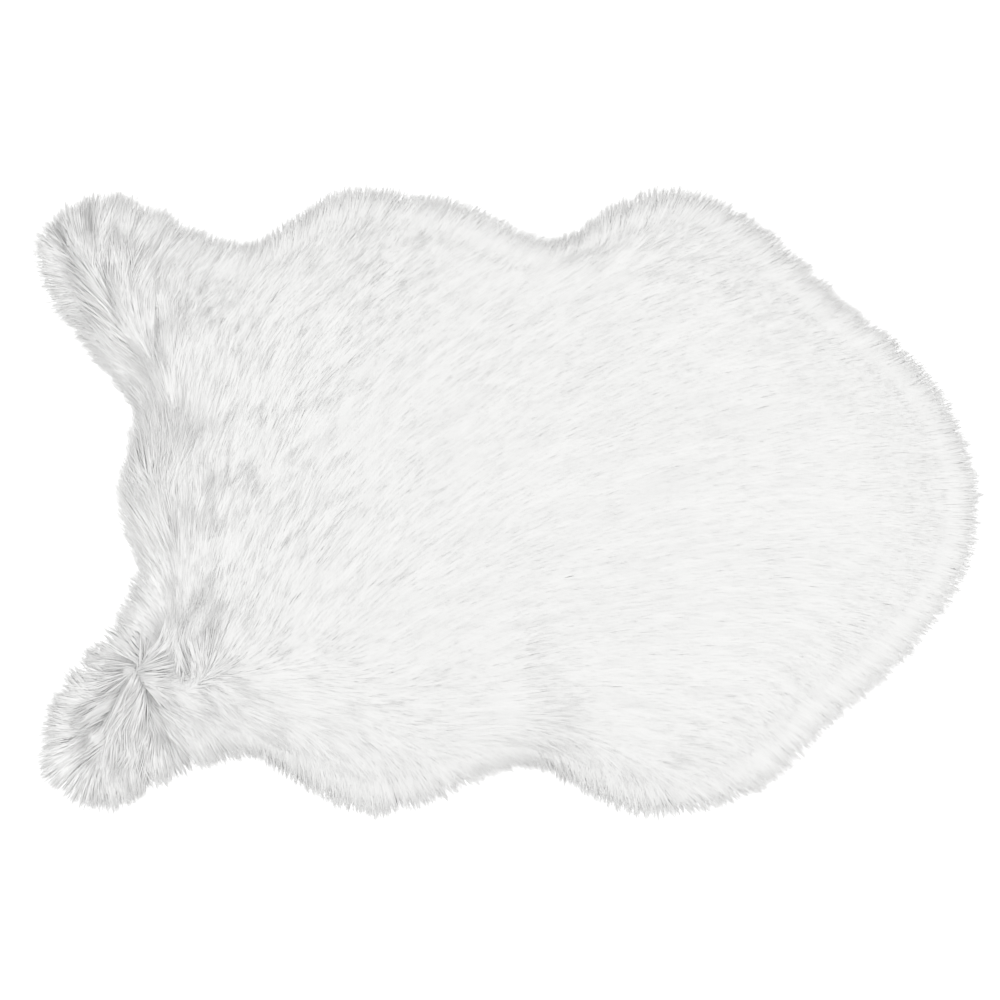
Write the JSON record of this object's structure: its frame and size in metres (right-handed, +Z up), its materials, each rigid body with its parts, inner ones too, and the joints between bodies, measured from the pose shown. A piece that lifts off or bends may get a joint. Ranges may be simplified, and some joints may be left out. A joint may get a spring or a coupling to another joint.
{
  "type": "shag rug",
  "caption": "Faux sheepskin shag rug lying flat: long soft white pile on a ground cloth cut like a hide, with legs at one end, wavy sides and a round end.",
  "frame": {"origin": "on the floor, under the middle of the rug's length and width", "axes": "+X along the rug from the end with the legs to the round end, +Y across it, +Z up out of the pile"},
  "size_m": [0.9, 0.6, 0.0349],
  "materials": {
    "white_pile": "long soft white fibre pile, matt with a slight sheen along the lie"
  },
  "bodies": {
    "root": {"pile_fabric": "white_pile"}
  },
  "joints": []
}
